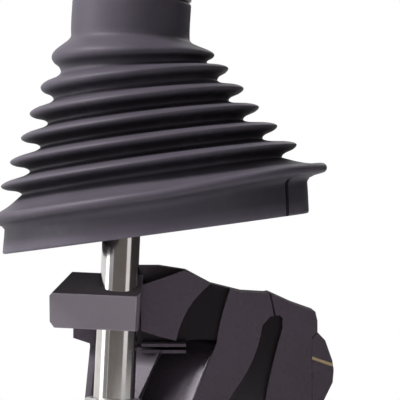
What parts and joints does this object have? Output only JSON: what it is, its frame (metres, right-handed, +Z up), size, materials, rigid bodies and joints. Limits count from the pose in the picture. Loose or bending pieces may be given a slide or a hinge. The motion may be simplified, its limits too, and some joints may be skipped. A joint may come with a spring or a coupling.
{
  "type": "direction switch",
  "caption": "Forklift direction switch: a hand lever with a rubber gaiter rocks on a trunnion in a ribbed housing and drives a sliding contact unit.",
  "frame": {"origin": "centre of the four mounting holes, on the underside of the base plate", "axes": "+Z up along the housing, +X to the right of the lever as seen from the front, +Y to the rear of the housing"},
  "size_m": [0.108, 0.096, 0.2054],
  "materials": {
    "moulded_black": "fine-grained black moulding",
    "block_black": "black-coated casting",
    "knob_black": "semi-gloss moulding",
    "gaiter_rubber": "matt black rubber",
    "rod_steel": "ground and plated steel",
    "screw_steel": "zinc plated",
    "contact_brass": "bright rolled brass",
    "carriage_nylon": "natural nylon"
  },
  "bodies": {
    "lever": {"lever_rod": "rod_steel", "tip_stud": "rod_steel", "tip_nut": "screw_steel", "knob": "knob_black", "knob_insert": "contact_brass", "knob_jam_nut": "screw_steel", "gaiter": "gaiter_rubber", "pivot_block": "block_black", "rod_grub_screw": "screw_steel", "pivot_washer": "screw_steel", "pivot_clip": "screw_steel"},
    "base": {"housing": "moulded_black", "pivot_bush": "contact_brass", "end_cap": "moulded_black", "earth_strip": "contact_brass", "end_cap_screws": "screw_steel", "contact_case": "moulded_black", "contact_cover": "moulded_black", "cover_screws": "screw_steel", "case_screws": "screw_steel", "forward_terminal": "contact_brass", "common_terminal": "contact_brass", "reverse_terminal": "contact_brass"},
    "carriage": {"contact_carriage": "carriage_nylon", "bridge_contact": "contact_brass", "bridge_springs": "screw_steel", "detent_ball": "screw_steel", "detent_spring": "screw_steel"}
  },
  "joints": [
    {"name": "lever_pivot", "type": "hinge", "parent": "base", "child": "lever", "pos_m": [-0.014, -0.006, 0.074], "axis": [0, 1, 0], "range_deg": [-12, 12]},
    {"name": "carriage_slide", "type": "slide", "parent": "base", "child": "carriage", "axis": [1, 0, 0], "range_m": [-0.0098, 0.0098]}
  ],
  "couplings": [
    {"joint": "carriage_slide", "follows": "lever_pivot", "m_per_rad": -0.045871}
  ]
}
